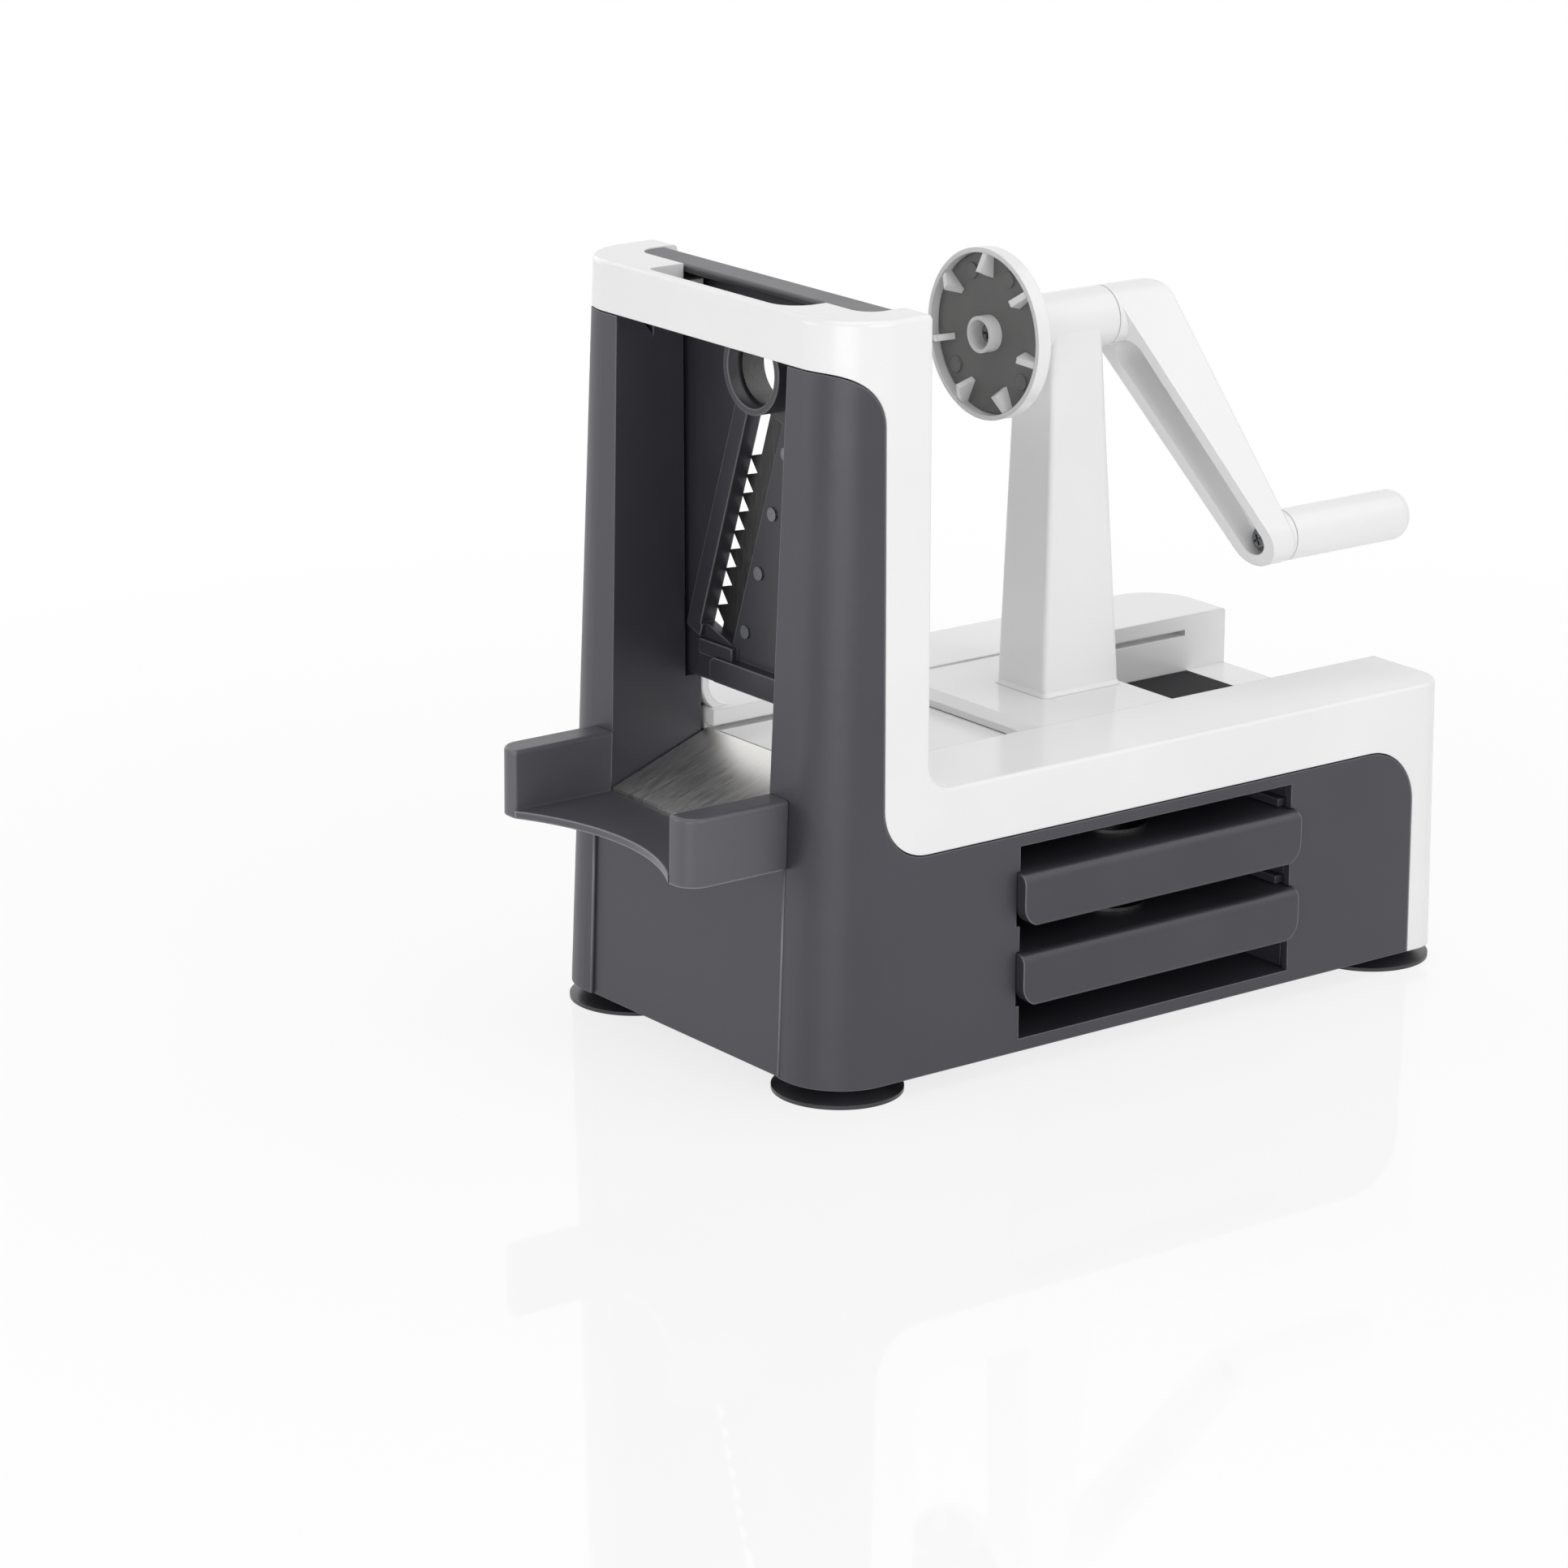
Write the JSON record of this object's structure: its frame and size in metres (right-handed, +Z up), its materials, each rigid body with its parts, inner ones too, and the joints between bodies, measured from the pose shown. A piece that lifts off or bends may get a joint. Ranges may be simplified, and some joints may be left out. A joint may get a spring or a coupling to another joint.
{
  "type": "spiralizer with crank",
  "caption": "Hand-cranked vegetable spiralizer: two-colour L-shaped body on suction feet, blade insert in a tower, spare inserts in a side bay and a sliding carriage with a crank.",
  "frame": {"origin": "bottom centre of the bounding box, on the plane that the suction feet stand on", "axes": "+Z up, +X from the blade tower towards the crank, -Y the side with the storage bay for the spare inserts"},
  "size_m": [0.3042, 0.1536, 0.2476],
  "materials": {
    "white_abs": "satin moulded ABS",
    "grey_abs": "satin moulded ABS",
    "insert_grey_abs": "satin moulded ABS",
    "dark_grip": "soft matt elastomer",
    "black_rubber": "moulded rubber",
    "stainless_sheet": "bright rolled",
    "blade_steel": "ground",
    "steel_shaft": "turned",
    "zinc_steel": "zinc plated",
    "acetal": "natural acetal"
  },
  "bodies": {
    "casing": {"catch_tray": "grey_abs", "frame_screws": "zinc_steel", "lower_housing": "grey_abs", "outlet_chute": "stainless_sheet", "storage_runner_front": "grey_abs", "storage_runner_rear": "grey_abs", "suction_foot_front_left": "black_rubber", "suction_foot_front_right": "black_rubber", "suction_foot_rear_left": "black_rubber", "suction_foot_rear_right": "black_rubber", "upper_frame": "white_abs"},
    "blade_insert": {"insert_frame": "insert_grey_abs", "insert_comb_blade": "blade_steel", "insert_slicing_blade": "blade_steel", "insert_core_ring": "blade_steel", "insert_blade_rivets": "zinc_steel"},
    "upper_spare_insert": {"spare_upper_frame": "insert_grey_abs", "spare_upper_comb_blade": "blade_steel", "spare_upper_slicing_blade": "blade_steel", "spare_upper_core_ring": "blade_steel", "spare_upper_blade_rivets": "zinc_steel"},
    "lower_spare_insert": {"spare_lower_frame": "insert_grey_abs", "spare_lower_comb_blade": "blade_steel", "spare_lower_slicing_blade": "blade_steel", "spare_lower_core_ring": "blade_steel", "spare_lower_blade_rivets": "zinc_steel"},
    "carriage": {"carriage_plate": "white_abs", "bearing_post": "white_abs", "post_screws": "zinc_steel", "front_bush": "acetal", "rear_bush": "acetal"},
    "crank": {"drive_shaft": "steel_shaft", "food_disc": "white_abs", "disc_pad": "dark_grip", "disc_screw": "zinc_steel", "crank_arm": "white_abs", "crank_screw": "zinc_steel"},
    "handle_grip": {"grip": "white_abs", "grip_sleeve": "steel_shaft", "grip_washer": "zinc_steel", "grip_screw": "zinc_steel"}
  },
  "joints": [
    {"name": "carriage_slide", "type": "slide", "parent": "casing", "child": "carriage", "axis": [1, 0, 0], "range_m": [-0.07, 0.072]},
    {"name": "crank_spin", "type": "hinge", "parent": "carriage", "child": "crank", "pos_m": [0.0524, 0.00145, 0.2192], "axis": [1, 0, 0], "continuous": true},
    {"name": "grip_spin", "type": "hinge", "parent": "crank", "child": "handle_grip", "pos_m": [0.1244, -0.03977, 0.14751], "axis": [1, 0, 0], "continuous": true},
    {"name": "insert_lift", "type": "slide", "parent": "casing", "child": "blade_insert", "axis": [0, 0, 1], "range_m": [0, 0.15]},
    {"name": "upper_spare_slide", "type": "slide", "parent": "casing", "child": "upper_spare_insert", "axis": [0, -1, 0], "range_m": [0, 0.15]},
    {"name": "lower_spare_slide", "type": "slide", "parent": "casing", "child": "lower_spare_insert", "axis": [0, -1, 0], "range_m": [0, 0.15]}
  ]
}
